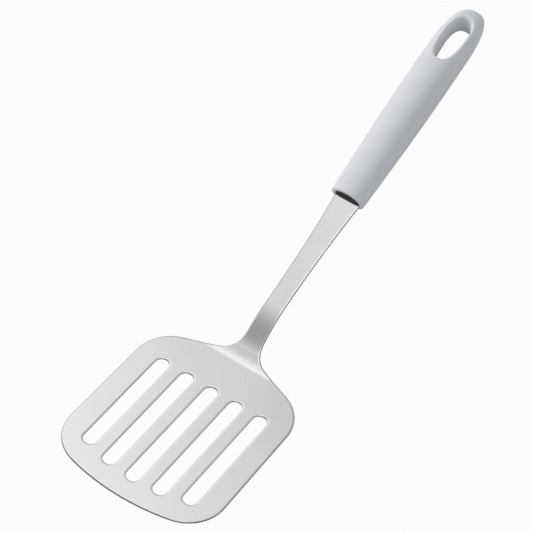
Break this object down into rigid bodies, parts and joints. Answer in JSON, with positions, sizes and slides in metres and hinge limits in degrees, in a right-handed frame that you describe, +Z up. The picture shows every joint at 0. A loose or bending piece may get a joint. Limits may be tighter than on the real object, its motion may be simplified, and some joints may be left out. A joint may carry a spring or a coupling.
{
  "type": "turner",
  "caption": "Slotted kitchen turner: stainless blade and shank bent from a single sheet, hollow oval plastic grip with a hanging slot, dark plug holding the tang in its mouth.",
  "frame": {"origin": "on the surface the turner lies on, under the middle of its length and width", "axes": "+X along the tool from the blade's front edge to the grip's end, +Y across it, +Z up as it lies on its heel and grip with the blade's front raised"},
  "size_m": [0.341, 0.0948, 0.0438],
  "materials": {
    "steel": "satin",
    "grip_plastic": "matte",
    "plug_plastic": "matte"
  },
  "bodies": {
    "root": {"blade": "steel", "handle": "grip_plastic", "tang_plug": "plug_plastic"}
  },
  "joints": []
}
